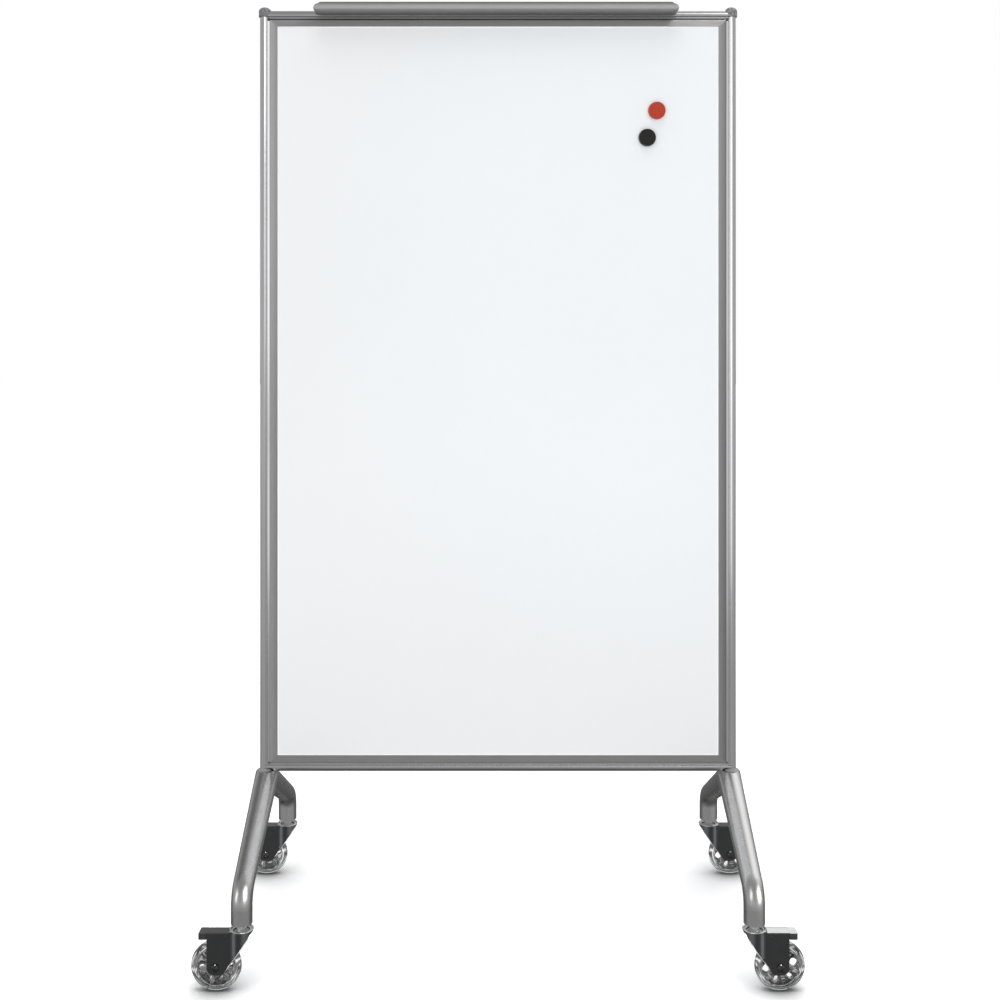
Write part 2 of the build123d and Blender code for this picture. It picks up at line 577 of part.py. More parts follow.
    # axle bolt with button head, dome nut, two spacers and the pedal's pivot pin
    with BuildPart() as fasteners:
        with BuildSketch(radial):
            with BuildLine():
                Polyline((0, -15.6), (3.4, -15.6), (3.4, -17.6))
                ThreePointArc((3.4, -17.6), (6.1, -16.6), (7.3, -14.4))
                Polyline((7.3, -14.4), (7.3, -CHEEK_OUT - 0.03), (AXLE_R, -CHEEK_OUT - 0.03), (AXLE_R, 16.2), (0, 16.2), (0, -15.6))
            make_face()
        revolve(axis=axle)
        with BuildSketch(radial):
            with BuildLine():
                Polyline((AXLE_R + 0.03, CHEEK_OUT + 0.03), (7.3, CHEEK_OUT + 0.03), (7.3, 15.4))
                ThreePointArc((7.3, 15.4), (5.6, 17.3), (1.2, 18.2))
                Polyline((1.2, 18.2), (0, 18.2), (0, 16.4), (AXLE_R + 0.03, 16.4), (AXLE_R + 0.03, CHEEK_OUT + 0.03))
            make_face()
        revolve(axis=axle)
        for y0 in (-(CHEEK_OUT - SHEET) + 0.03, WHEEL_HALF + 0.05):
            with BuildSketch(radial.offset(0)):
                with Locations(((AXLE_R + 0.03 + 6.4) / 2, y0 + 0.41)):
                    Rectangle(6.4 - AXLE_R - 0.03, 0.8)
            revolve(axis=axle)
        pin_plane = Plane(origin=(cx + s * PIVOT_U, cy, PIVOT_Z), x_dir=(1, 0, 0), z_dir=(0, 0, 1))
        with BuildSketch(pin_plane):
            with BuildLine():
                Polyline((0, -14.2), (1.6, -14.2), (2.8, -13.25), (1.5, -13.25), (1.5, 13.25), (2.8, 13.25), (1.6, 14.2), (0, 14.2), (0, -14.2))
            make_face()
        revolve(axis=Axis((cx + s * PIVOT_U, cy, PIVOT_Z), (0, 1, 0)))
    save(fasteners, "caster_" + tag + "_fasteners")

    # clear tyre, round in section like a skate wheel
    with BuildPart() as tyre:
        with BuildSketch(radial):
            with BuildLine():
                Polyline((CORE_OUT_R, -8.6), (38.2, -WHEEL_HALF + 0.3))
                ThreePointArc((38.2, -WHEEL_HALF + 0.3), (WHEEL_R, 0), (38.2, WHEEL_HALF - 0.3))
                Polyline((38.2, WHEEL_HALF - 0.3), (CORE_OUT_R, 8.6), (CORE_OUT_R, -8.6))
            make_face()
        revolve(axis=axle)
    save(tyre, "caster_" + tag + "_tyre")

    # clear spoked wheel centre with two bearing seats
    with BuildPart() as hub:
        with BuildSketch(radial):
            with BuildLine():
                Polyline((11.02, 3.4), (11.02, WHEEL_HALF), (14.0, WHEEL_HALF), (16.0, 6.2), (16.0, -6.2), (14.0, -WHEEL_HALF),
                         (11.02, -WHEEL_HALF), (11.02, -3.4), (6.5, -3.4), (6.5, 3.4), (11.02, 3.4))
            make_face()
        revolve(axis=axle)
        with BuildSketch(radial):
            with BuildLine():
                Polyline((32.4, -7.6), (33.4, -8.6), (CORE_OUT_R - 0.03, -8.6), (CORE_OUT_R - 0.03, 8.6), (33.4, 8.6), (32.4, 7.6), (32.4, -7.6))
            make_face()
        revolve(axis=axle)
        with BuildSketch(across(0)):
            with PolarLocations(24.2, 6, start_angle=43.0):
                Rectangle(17.5, 6.4)
            Circle(14.5, mode=Mode.SUBTRACT)
        extrude(amount=5.6, both=True)
    save(hub, "caster_" + tag + "_hub")

    # two sealed ball bearings
    with BuildPart() as bearings:
        for sy in (-1, 1):
            with BuildSketch(radial):
                with BuildLine():
                    Polyline((AXLE_R + 0.05, sy * 3.5), (BEARING_R, sy * 3.5), (BEARING_R, sy * 10.4), (9.8, sy * 10.4), (9.6, sy * 10.0),
                             (6.2, sy * 10.0), (6.0, sy * 10.4), (AXLE_R + 0.05, sy * 10.4), (AXLE_R + 0.05, sy * 3.5))
                make_face()
            revolve(axis=axle)
    save(bearings, "caster_" + tag + "_bearings")


caster("fl", -FOOT_X, -STEM_Y, -1)
caster("fr", FOOT_X, -STEM_Y, 1)
caster("rl", -FOOT_X, STEM_Y, -1)
caster("rr", FOOT_X, STEM_Y, 1)
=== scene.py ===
import json
import math

import bpy
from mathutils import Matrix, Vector


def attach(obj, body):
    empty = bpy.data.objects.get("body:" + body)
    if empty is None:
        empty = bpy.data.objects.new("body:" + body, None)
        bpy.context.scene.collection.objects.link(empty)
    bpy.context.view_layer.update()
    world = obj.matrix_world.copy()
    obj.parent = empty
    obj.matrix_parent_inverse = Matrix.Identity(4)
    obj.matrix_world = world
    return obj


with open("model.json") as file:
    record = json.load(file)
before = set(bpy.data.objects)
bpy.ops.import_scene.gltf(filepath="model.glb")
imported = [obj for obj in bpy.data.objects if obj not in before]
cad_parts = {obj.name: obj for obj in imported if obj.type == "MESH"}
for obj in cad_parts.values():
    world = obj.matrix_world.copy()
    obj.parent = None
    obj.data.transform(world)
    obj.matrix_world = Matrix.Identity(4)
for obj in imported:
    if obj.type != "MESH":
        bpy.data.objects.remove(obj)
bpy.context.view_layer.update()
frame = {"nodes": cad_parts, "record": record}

NODES = frame["nodes"]
CASTERS = ("fl", "fr", "rl", "rr")


# ---------------------------------------------------------------- node helpers

class Graph:
    """A small wrapper that keeps node trees readable."""

    def __init__(self, tree):
        self.tree = tree
        tree.nodes.clear()

    def add(self, kind, **values):
        node = self.tree.nodes.new(kind)
        for key, value in values.items():
            if key.startswith("in_"):
                name = key[3:]
                socket = node.inputs[int(name)] if name.isdigit() else node.inputs[name.replace("_", " ")]
                self.put(socket, value)
            else:
                setattr(node, key, value)
        return node

    def put(self, socket, value):
        if isinstance(value, bpy.types.NodeSocket):
            self.tree.links.new(value, socket)
        else:
            socket.default_value = value

    def math(self, op, a, b=0.0, c=None, clamp=False):
        node = self.tree.nodes.new("ShaderNodeMath")
        node.operation = op
        node.use_clamp = clamp
        self.put(node.inputs[0], a)
        self.put(node.inputs[1], b)
        if c is not None:
            self.put(node.inputs[2], c)
        return node.outputs[0]

    def ramp(self, fac, stops, interpolation="LINEAR"):
        node = self.tree.nodes.new("ShaderNodeValToRGB")
        node.color_ramp.interpolation = interpolation
        while len(node.color_ramp.elements) < len(stops):
            node.color_ramp.elements.new(0.5)
        for element, (place, colour) in zip(node.color_ramp.elements, stops):
            element.position = place
            element.color = colour
        self.put(node.inputs[0], fac)
        return node.outputs[0]

    def remap(self, value, lo, hi, out_lo, out_hi):
        node = self.tree.nodes.new("ShaderNodeMapRange")
        node.clamp = True
        self.put(node.inputs[0], value)
        for i, v in enumerate((lo, hi, out_lo, out_hi)):
            node.inputs[i + 1].default_value = v
        return node.outputs[0]

    def mix(self, fac, a, b):
        node = self.tree.nodes.new("ShaderNodeMix")
        node.data_type = "RGBA"
        self.put(node.inputs[0], fac)
        self.put(node.inputs[6], a)
        self.put(node.inputs[7], b)
        return node.outputs[2]


def rgb(r, g=None, b=None):
    if g is None:
        g = b = r
    return (r, g, b, 1.0)


def finish_material(name, low, high, metallic=0.0, rough=(0.3, 0.4), grain=60.0,
                    stretch=(1, 1, 1), bump=0.15, bump_scale=900.0, bump_mm=0.05,
                    coat=0.0, coat_rough=0.1, spec=0.5, tint=None, round_mm=0.0,
                    speckle=0.0, bump_stretch=(1, 1, 1), sheen=0.0):
    """One procedural finish: drifting colour, uneven roughness and fine relief."""
    mat = bpy.data.materials.new("mat_" + name)
    mat.use_nodes = True
    g = Graph(mat.node_tree)
    coords = g.add("ShaderNodeTexCoord").outputs["Object"]
    place = g.add("ShaderNodeMapping", in_Vector=coords, in_Scale=stretch).outputs[0]
    broad = g.add("ShaderNodeTexNoise", in_Vector=place, in_Scale=grain, in_Detail=4.0, in_Roughness=0.55)
    wide = g.add("ShaderNodeTexNoise", in_Vector=coords, in_Scale=3.1, in_Detail=2.0)
    fine_place = g.add("ShaderNodeMapping", in_Vector=coords, in_Scale=bump_stretch).outputs[0]
    fine = g.add("ShaderNodeTexNoise", in_Vector=fine_place, in_Scale=bump_scale, in_Detail=2.0)
    amount = g.math("ADD", g.math("MULTIPLY", broad.outputs[0], 0.65), g.math("MULTIPLY", wide.outputs[0], 0.35))
    colour = g.ramp(amount, [(0.30, low), (0.70, high)])
    if speckle > 0.0:
        spots = g.ramp(fine.outputs[0], [(0.35, rgb(1.0 - speckle)), (0.65, rgb(1.0 + speckle))])
        node = g.tree.nodes.new("ShaderNodeMix")
        node.data_type = "RGBA"
        node.blend_type = "MULTIPLY"
        node.inputs[0].default_value = 1.0
        g.put(node.inputs[6], colour)
        g.put(node.inputs[7], spots)
        colour = node.outputs[2]
    roughness = g.remap(broad.outputs[0], 0.3, 0.7, rough[0], rough[1])
    relief = g.add("ShaderNodeBump", in_Strength=bump, in_Distance=bump_mm / 1000.0, in_Height=fine.outputs[0])
    if round_mm > 0.0:
        soft = g.add("ShaderNodeBevel", samples=4, in_Radius=round_mm / 1000.0)
        g.put(relief.inputs["Normal"], soft.outputs[0])
    shader = g.add("ShaderNodeBsdfPrincipled", in_Metallic=metallic)
    g.put(shader.inputs["Base Color"], colour)
    g.put(shader.inputs["Roughness"], roughness)
    g.put(shader.inputs["Normal"], relief.outputs[0])
    shader.inputs["Specular IOR Level"].default_value = spec
    shader.inputs["Coat Weight"].default_value = coat
    shader.inputs["Coat Roughness"].default_value = coat_rough
    if sheen:
        shader.inputs["Sheen Weight"].default_value = sheen
    if tint is not None:
        shader.inputs["Specular Tint"].default_value = tint
    out = g.add("ShaderNodeOutputMaterial")
    g.put(out.inputs[0], shader.outputs[0])
    return mat


def clear_material(name, tone_low, tone_high, rough=(0.0, 0.02), ior=1.45, shade=0.30):
    """Clear moulded plastic; shadow rays pass partly so the floor is not blacked out."""
    mat = bpy.data.materials.new("mat_" + name)
    mat.use_nodes = True
    g = Graph(mat.node_tree)
    coords = g.add("ShaderNodeTexCoord").outputs["Object"]
    drift = g.add("ShaderNodeTexNoise", in_Vector=coords, in_Scale=34.0, in_Detail=3.0)
    fine = g.add("ShaderNodeTexNoise", in_Vector=coords, in_Scale=160.0, in_Detail=2.0)
    colour = g.ramp(drift.outputs[0], [(0.3, tone_low), (0.7, tone_high)])
    roughness = g.remap(drift.outputs[0], 0.3, 0.7, rough[0], rough[1])
    relief = g.add("ShaderNodeBump", in_Strength=0.35, in_Distance=0.0002, in_Height=fine.outputs[0])
    shader = g.add("ShaderNodeBsdfPrincipled", in_Metallic=0.0, in_IOR=ior)
    g.put(shader.inputs["Base Color"], colour)
    g.put(shader.inputs["Roughness"], roughness)
    g.put(shader.inputs["Normal"], relief.outputs[0])
    shader.inputs["Transmission Weight"].default_value = 1.0
    through = g.add("ShaderNodeBsdfTransparent", in_Color=rgb(shade))
    path = g.add("ShaderNodeLightPath")
    both = g.add("ShaderNodeMixShader")
    g.put(both.inputs[0], path.outputs["Is Shadow Ray"])
    g.put(both.inputs[1], shader.outputs[0])
    g.put(both.inputs[2], through.outputs[0])
    out = g.add("ShaderNodeOutputMaterial")
    g.put(out.inputs[0], both.outputs[0])
    return mat


MATS = {
    "frame_tube": finish_material("frame_tube", rgb(0.70, 0.70, 0.71), rgb(0.80, 0.80, 0.81), 1.0, (0.16, 0.22), 40,
                                  (1, 1, 0.1), 0.03, 700, 0.005),
    "rail_tube": finish_material("rail_tube", rgb(0.66, 0.66, 0.67), rgb(0.76, 0.76, 0.77), 1.0, (0.18, 0.24), 40,
                                 (0.1, 1, 1), 0.03, 700, 0.005),
    # rim_chrome: bright finish of the fork_edge beads, a painted highlight line along the edges of the black chrome
    # fork.
    "rim_chrome": finish_material("rim_chrome", rgb(0.80), rgb(0.92), 0.75, (0.30, 0.40), 200, (1, 1, 1), 0.1, 900, 0.02),
    "clear_web": clear_material("clear_web", rgb(0.42, 0.42, 0.415), rgb(0.66, 0.66, 0.655), (0.0, 0.03), 1.49),
    "leg_tube": finish_material("leg_tube", rgb(0.60, 0.595, 0.59), rgb(0.69, 0.685, 0.68), 1.0, (0.25, 0.31), 30,
                                (1, 1, 1), 0.03, 800, 0.005),
    "trim_side": finish_material("trim_side", rgb(0.34, 0.335, 0.34), rgb(0.40, 0.395, 0.40), 0.72, (0.32, 0.40), 50,
                                 (10, 10, 0.5), 0.06, 400, 0.01, bump_stretch=(3, 3, 0.2)),
    "trim_flat": finish_material("trim_flat", rgb(0.34, 0.335, 0.33), rgb(0.40, 0.395, 0.39), 0.72, (0.32, 0.40), 50,
                                 (0.5, 10, 10), 0.06, 400, 0.01, bump_stretch=(0.2, 3, 3)),
    "tray_metal": finish_material("tray_metal", rgb(0.53, 0.527, 0.523), rgb(0.61, 0.607, 0.602), 1.0, (0.36, 0.43), 50,
                                  (0.5, 10, 10), 0.06, 400, 0.01, bump_stretch=(0.2, 3, 3)),
    "tray_metal_cap": finish_material("tray_metal_cap", rgb(0.46, 0.455, 0.45), rgb(0.54, 0.535, 0.53), 1.0,
                                      (0.30, 0.40), 80, (1, 1, 1), 0.2, 900, 0.05),
    "cap_plastic": finish_material("cap_plastic", rgb(0.13, 0.13, 0.135), rgb(0.24, 0.24, 0.245), 0.0, (0.40, 0.55),
                                   340, (1, 1, 1), 1.0, 330, 0.8, speckle=0.45),
    "writing_face": finish_material("writing_face", rgb(0.845, 0.872, 0.892), rgb(0.855, 0.882, 0.900), 0.0,
                                    (0.20, 0.26), 2.0, (1, 1, 1), 0.03, 700, 0.02, coat=0.25, coat_rough=0.18),
    "core_board": finish_material("core_board", rgb(0.32, 0.22, 0.13), rgb(0.45, 0.33, 0.20), 0.0, (0.8, 0.95), 140,
                                  (1, 1, 6), 0.6, 500, 0.3),
    "pad_rubber": finish_material("pad_rubber", rgb(0.020), rgb(0.035), 0.0, (0.7, 0.9), 200, (1, 1, 1), 0.5, 900, 0.1),
    "zinc_hardware": finish_material("zinc_hardware", rgb(0.52, 0.53, 0.55), rgb(0.68, 0.69, 0.71), 1.0, (0.25, 0.4),
                                     220, (1, 1, 1), 0.3, 1600, 0.03),
    "red_plastic": finish_material("red_plastic", rgb(0.40, 0.028, 0.010), rgb(0.48, 0.048, 0.016), 0.0, (0.30, 0.42),
                                   120, (1, 1, 1), 0.25, 1300, 0.04, coat=0.15),
    "black_plastic": finish_material("black_plastic", rgb(0.008, 0.008, 0.007), rgb(0.020, 0.019, 0.018), 0.0,
                                     (0.32, 0.45), 120, (1, 1, 1), 0.25, 1300, 0.04),
    "magnet_ferrite": finish_material("magnet_ferrite", rgb(0.03), rgb(0.06), 0.2, (0.55, 0.7), 300, (1, 1, 1), 0.5,
                                      1500, 0.06),
    "black_chrome": finish_material("black_chrome", rgb(0.085, 0.087, 0.090), rgb(0.105, 0.107, 0.110), 1.0,
                                    (0.10, 0.15), 60, (1, 1, 1), 0.05, 900, 0.02, coat=0.35, coat_rough=0.05,
                                    round_mm=0.5),
    "kingpin_steel": finish_material("kingpin_steel", rgb(0.58), rgb(0.70), 0.45, (0.30, 0.42), 120, (4, 4, 1), 0.1,
                                     1500, 0.02),
    "bearing_steel": finish_material("bearing_steel", rgb(0.60), rgb(0.74), 1.0, (0.1, 0.18), 150, (1, 1, 1), 0.1,
                                     1500, 0.02),
    "bolt_black": finish_material("bolt_black", rgb(0.10), rgb(0.15), 1.0, (0.14, 0.22), 200, (1, 1, 1), 0.15, 1500,
                                  0.03, round_mm=0.4),
    "pedal_plastic": finish_material("pedal_plastic", rgb(0.022, 0.023, 0.024), rgb(0.034, 0.035, 0.036), 0.0,
                                     (0.14, 0.2), 90, (1, 1, 1), 0.06, 900, 0.02, coat=0.6, coat_rough=0.06,
                                     round_mm=0.6),
    "clear_tyre": clear_material("clear_tyre", rgb(0.90, 0.905, 0.91), rgb(0.97, 0.975, 0.98), (0.0, 0.015), 1.46),
    "clear_core": clear_material("clear_core", rgb(0.86, 0.865, 0.87), rgb(0.95, 0.955, 0.96), (0.0, 0.02), 1.52),
    "seam_soft": finish_material("seam_soft", rgb(0.26, 0.258, 0.255), rgb(0.31, 0.308, 0.304), 0.25, (0.40, 0.48), 50,
                                 (0.5, 10, 10), 0.05, 400, 0.01),
    "race_bright": finish_material("race_bright", rgb(0.86, 0.865, 0.87), rgb(0.95, 0.955, 0.96), 0.35, (0.25, 0.35),
                                   220, (1, 1, 1), 0.1, 900, 0.02),
    "collar_weld": finish_material("collar_weld", rgb(0.36, 0.358, 0.355), rgb(0.43, 0.427, 0.423), 0.35, (0.38, 0.46),
                                   60, (1, 1, 1), 0.08, 700, 0.02),
    "tray_lip": finish_material("tray_lip", rgb(0.40, 0.397, 0.393), rgb(0.46, 0.457, 0.452), 0.45, (0.36, 0.44), 50,
                                (0.5, 6, 6), 0.05, 400, 0.01, bump_stretch=(0.2, 3, 3)),
    "white_bead": finish_material("white_bead", rgb(0.93, 0.93, 0.94), rgb(0.98, 0.98, 0.98), 0.0, (0.3, 0.4), 100,
                                  (1, 1, 1), 0.1, 900, 0.03),
}

def paint_light_patch(mat, centre, radius, low, high, soft=0.35):
    """Painted light: lays a broad round patch of brighter colour over the finish's own colour, in object space
    (metres); outside the patch the colour is dimmed towards the low tint.
    """
    tree = mat.node_tree
    shader = next(n for n in tree.nodes if n.type == "BSDF_PRINCIPLED")
    source = shader.inputs["Base Color"].links[0].from_socket
    coords = next(n for n in tree.nodes if n.type == "TEX_COORD").outputs["Object"]
    sub = tree.nodes.new("ShaderNodeVectorMath")
    sub.operation = "SUBTRACT"
    tree.links.new(coords, sub.inputs[0])
    sub.inputs[1].default_value = centre
    flat = tree.nodes.new("ShaderNodeVectorMath")
    flat.operation = "MULTIPLY"
    tree.links.new(sub.outputs[0], flat.inputs[0])
    flat.inputs[1].default_value = (1.0, 0.0, 0.8)
    far = tree.nodes.new("ShaderNodeVectorMath")
    far.operation = "LENGTH"
    tree.links.new(flat.outputs[0], far.inputs[0])
    fade = tree.nodes.new("ShaderNodeMapRange")
    fade.interpolation_type = "SMOOTHSTEP"
    tree.links.new(far.outputs["Value"], fade.inputs[0])
    fade.inputs[1].default_value = radius * (1 - soft)
    fade.inputs[2].default_value = radius * (1 + soft)
    fade.inputs[3].default_value = 1.0
    fade.inputs[4].default_value = 0.0
    wash = tree.nodes.new("ShaderNodeMix")
    wash.data_type = "RGBA"
    tree.links.new(fade.outputs[0], wash.inputs[0])
    wash.inputs[6].default_value = low
    wash.inputs[7].default_value = high
    both = tree.nodes.new("ShaderNodeMix")
    both.data_type = "RGBA"
    both.blend_type = "MULTIPLY"
    both.inputs[0].default_value = 1.0
    tree.links.new(source, both.inputs[6])
    tree.links.new(wash.outputs[2], both.inputs[7])
    tree.links.new(both.outputs[2], shader.inputs["Base Color"])


# Painted light on the writing face: a brighter round patch on its upper right, slightly darker and warmer outside it.
paint_light_patch(MATS["writing_face"], (0.281, 0.0, 1.30), 0.50, rgb(0.985, 0.972, 0.962), rgb(1.0, 1.0, 1.0), 0.5)


def paint_fork_reflection_bands(mat):
    """Painted reflection: upright bright and dark bands on the drum of the fork, worked out from the place round its
    own kingpin.
    """
    tree = mat.node_tree
    shader = next(n for n in tree.nodes if n.type == "BSDF_PRINCIPLED")
    source = shader.inputs["Base Color"].links[0].from_socket
    coords = next(n for n in tree.nodes if n.type == "TEX_COORD").outputs["Object"]
    g = Graph.__new__(Graph)
    g.tree = tree
    parts = g.add("ShaderNodeSeparateXYZ", in_Vector=coords)
    px, py = parts.outputs[0], parts.outputs[1]
    outward = g.math("SUBTRACT", g.math("ABSOLUTE", px), 0.4572)
    side = g.math("SIGN", py)
    across = g.math("SUBTRACT", py, g.math("MULTIPLY", side, 0.2523))
    reach = g.math("SQRT", g.math("ADD", g.math("MULTIPLY", outward, outward), g.math("MULTIPLY", across, across)))
    on_drum = g.math("MULTIPLY", g.remap(reach, 0.0180, 0.0188, 0.0, 1.0), g.remap(reach, 0.0216, 0.0222, 1.0, 0.0))
    share = g.math("DIVIDE", outward, 0.0207)
    bands = g.ramp(g.remap(share, -1.0, 1.0, 0.0, 1.0), [
        (0.00, rgb(1.6)), (0.18, rgb(2.6)), (0.30, rgb(3.4)), (0.40, rgb(2.4)), (0.47, rgb(1.1)), (0.60, rgb(1.0)),
        (0.68, rgb(1.7)), (0.72, rgb(3.8)), (0.86, rgb(4.2)), (0.90, rgb(1.6)), (0.95, rgb(1.0)), (1.00, rgb(1.0))])
    value = g.add("ShaderNodeSeparateColor", in_Color=bands).outputs[0]
    gain = g.math("ADD", 1.0, g.math("MULTIPLY", g.math("SUBTRACT", value, 1.0), on_drum))
    scaled = g.add("ShaderNodeVectorMath", operation="SCALE", in_0=source)
    g.put(scaled.inputs["Scale"], gain)
    tree.links.new(scaled.outputs[0], shader.inputs["Base Color"])


paint_fork_reflection_bands(MATS["black_chrome"])


def open_finish(mat):
    """Node graph, object coordinates and current base colour of a finish, ready to be scaled."""
    tree = mat.node_tree
    g = Graph.__new__(Graph)
    g.tree = tree
    shader = next(n for n in tree.nodes if n.type == "BSDF_PRINCIPLED")
    coords = next(n for n in tree.nodes if n.type == "TEX_COORD").outputs["Object"]
    parts = g.add("ShaderNodeSeparateXYZ", in_Vector=coords)
    return g, shader, parts.outputs


def scale_base(g, shader, gain):
    source = shader.inputs["Base Color"].links[0].from_socket
    scaled = g.add("ShaderNodeVectorMath", operation="SCALE", in_0=source)
    g.put(scaled.inputs["Scale"], gain)
    g.tree.links.new(scaled.outputs[0], shader.inputs["Base Color"])


def paint_groove_shade(mat, axis, centres, keep):
    """Painted shade: darker tone inside the long grooves of a tube."""
    g, shader, place = open_finish(mat)
    deep = g.remap(g.math("ABSOLUTE", place[1]), 0.0075, 0.0085, 0.0, 1.0)
    along = g.math("ABSOLUTE", place[0]) if axis == 0 else place[2]
    gain = 1.0
    for centre in centres:
        off = g.math("ABSOLUTE", g.math("SUBTRACT", along, centre))
        mark = g.math("MULTIPLY", g.remap(off, 0.0008, 0.0016, 1.0 - keep, 0.0), deep)
        gain = g.math("SUBTRACT", gain, mark)
    scale_base(g, shader, gain)


# Painted shade in the grooves of the uprights and of the rails.
paint_groove_shade(MATS["frame_tube"], 0, (0.4568,), 0.70)
paint_groove_shade(MATS["rail_tube"], 2, (1.7954, 0.3202), 0.45)

# Painted light and shade on the side trims: the left trim is lighter at its outer edge and darker inwards, the right
# trim is darker towards its outer edge.
g, shader, place = open_finish(MATS["trim_side"])
scale_base(g, shader, g.remap(place[0], -0.4498, -0.4350, 1.30, 0.94))
right_trim_shade = g.remap(place[0], 0.4360, 0.4490, 1.10, 0.72)
scale_base(g, shader, g.math("ADD", g.math("MULTIPLY", g.remap(place[0], -0.01, 0.01, 0.0, 1.0),
                                           g.math("SUBTRACT", right_trim_shade, 1.0)), 1.0))

# Painted highlight: the rolled top rim of each caster cup is made several times brighter than the rest of the black
# chrome.
g, shader, place = open_finish(MATS["black_chrome"])
from_pin = g.math("SUBTRACT", g.math("ABSOLUTE", place[0]), 0.4572)
beside_pin = g.math("SUBTRACT", g.math("ABSOLUTE", place[1]), 0.2523)
pin_reach = g.math("SQRT", g.math("ADD", g.math("MULTIPLY", from_pin, from_pin), g.math("MULTIPLY", beside_pin, beside_pin)))
rim_painted_highlight = g.math("MULTIPLY", g.remap(place[2], 0.1080, 0.1086, 0.0, 1.0), g.remap(pin_reach, 0.0186, 0.0192, 0.0, 1.0))
scale_base(g, shader, g.math("ADD", g.math("MULTIPLY", rim_painted_highlight, 6.5), 1.0))

# Painted light and shade on the tray lip: darker at the bottom, brightest a little above mid-height, dark again near
# the top and lighter at the very top edge.
g, shader, place = open_finish(MATS["tray_lip"])
lip_painted_shading = g.ramp(g.remap(place[2], 1.7965, 1.8195, 0.0, 1.0), [
    (0.00, rgb(0.42)), (0.13, rgb(0.48)), (0.26, rgb(0.56)), (0.34, rgb(0.74)), (0.41, rgb(1.02)), (0.58, rgb(1.12)),
    (0.70, rgb(0.92)), (0.79, rgb(0.72)), (0.87, rgb(0.45)), (0.95, rgb(0.38)), (1.00, rgb(0.80))])
scale_base(g, shader, g.add("ShaderNodeSeparateColor", in_Color=lip_painted_shading).outputs[0])

record = frame["record"]
slot_of = {}
for entry in record.get("subparts") or []:
    if isinstance(entry, dict) and entry.get("node"):
        slot_of[entry["node"]] = entry.get("material_slot")

for name, obj in NODES.items():
    key = slot_of.get(name) or "frame_tube"
    if key == "trim_metal":
        key = "trim_side" if name in ("trim_left", "trim_right") else "trim_flat"
    if name in ("top_rail", "bottom_rail"):
        key = "rail_tube"
    obj.data.materials.clear()
    obj.data.materials.append(MATS[key])
    for polygon in obj.data.polygons:
        polygon.material_index = 0


# ---------------------------------------------------------------- added pieces

def new_mesh(name, points, faces, material, body, smooth=True):
    mesh = bpy.data.meshes.new(name)
    mesh.from_pydata([tuple(p) for p in points], [], faces)
    mesh.update()
    for polygon in mesh.polygons:
        polygon.use_smooth = smooth
    obj = bpy.data.objects.new(name, mesh)
    bpy.context.scene.collection.objects.link(obj)
    mesh.materials.append(MATS[material])
    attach(obj, body)
    return obj


def mm(*values):
    return Vector(v / 1000.0 for v in values)


def bead_frame(name, half_w, z0, z1, face_y, side, width, height):
    """A soft bead run round the inside of the trim on one face of the board."""
    corners = [(-half_w, z0, 1, 1), (half_w, z0, -1, 1), (half_w, z1, -1, -1), (-half_w, z1, 1, -1)]
    section = []
    steps = 7
    for i in range(steps + 1):
        a = math.pi / 2 * i / steps
        section.append((width * math.cos(a), height * math.sin(a)))
    points, faces = [], []
    for cx, cz, ix, iz in corners:
        for inward, lift in section + [(0.0, -0.05), (width, -0.05)]:
            points.append(mm(cx + ix * inward, face_y + side * lift, cz + iz * inward))
    n = len(section) + 2
    for c in range(4):
        d = (c + 1) % 4
        for i in range(n):
            j = (i + 1) % n
            quad = (c * n + i, c * n + j, d * n + j, d * n + i)
            faces.append(quad if side < 0 else quad[::-1])
    return new_mesh(name, points, faces, "white_bead", "stand")


bead_frame("edge_bead_front", 434.7, 340.0, 1776.8, -7.5, -1, 1.7, 1.1)
bead_frame("edge_bead_back", 434.7, 340.0, 1776.8, 7.5, 1, 1.7, 1.1)


def infill(name, side):
    """Filler strip that closes the valley between an upright and the board trim."""
    section = [(6.0, -7.6), (6.3, -8.45), (10.6, -8.45), (10.98, -8.2), (10.98, 8.2), (10.6, 8.45), (6.3, 8.45),
               (6.0, 7.6), (7.6, 5.9), (9.56, 1.6), (9.58, -1.6), (7.6, -5.9)]
    levels = [327.0 + 1461.0 * i / 60 for i in range(61)]
    points, faces = [], []
    n = len(section)
    for z in levels:
        for inward, y in section:
            points.append(mm(side * (461.0 - inward), y, z))
    for i in range(len(levels) - 1):
        for k in range(n):
            m = (k + 1) % n
            quad = (i * n + k, i * n + m, (i + 1) * n + m, (i + 1) * n + k)
            faces.append(quad if side < 0 else quad[::-1])
    last = (len(levels) - 1) * n
    faces.append(tuple(range(n)) if side > 0 else tuple(range(n))[::-1])
    faces.append(tuple(last + k for k in range(n))[::-1] if side > 0 else tuple(last + k for k in range(n)))
    return new_mesh(name, points, faces, "frame_tube", "stand", smooth=False)


infill("infill_left", -1)
infill("infill_right", 1)


def loft_along_x(name, section, half, material, body, count=48):
    """Strip of constant section, given as (y, z) in millimetres, run across the width."""
    points, faces = [], []
    n = len(section)
    for i in range(count + 1):
        x = -half + 2 * half * i / count
        for y, z in section:
            points.append(mm(x, y, z))
    for i in range(count):
        for k in range(n):
            m = (k + 1) % n
            faces.append((i * n + k, i * n + m, (i + 1) * n + m, (i + 1) * n + k))
    faces.append(tuple(range(n))[::-1])
    faces.append(tuple(count * n + k for k in range(n)))
    return new_mesh(name, points, faces, material, body, smooth=False)


def ring_section(z0, z1, front):
    soft = 0.3
    return [(-front, z0 + soft), (-front, z1 - soft), (-front + soft, z1), (front - soft, z1), (front, z1 - soft),
            (front, z0 + soft), (front - soft, z0), (-front + soft, z0)]


loft_along_x("infill_bottom", ring_section(321.9, 325.45, 8.75), 449.5, "rail_tube", "stand")
loft_along_x("infill_top", ring_section(1791.8, 1793.9, 9.1), 449.5, "seam_soft", "stand")


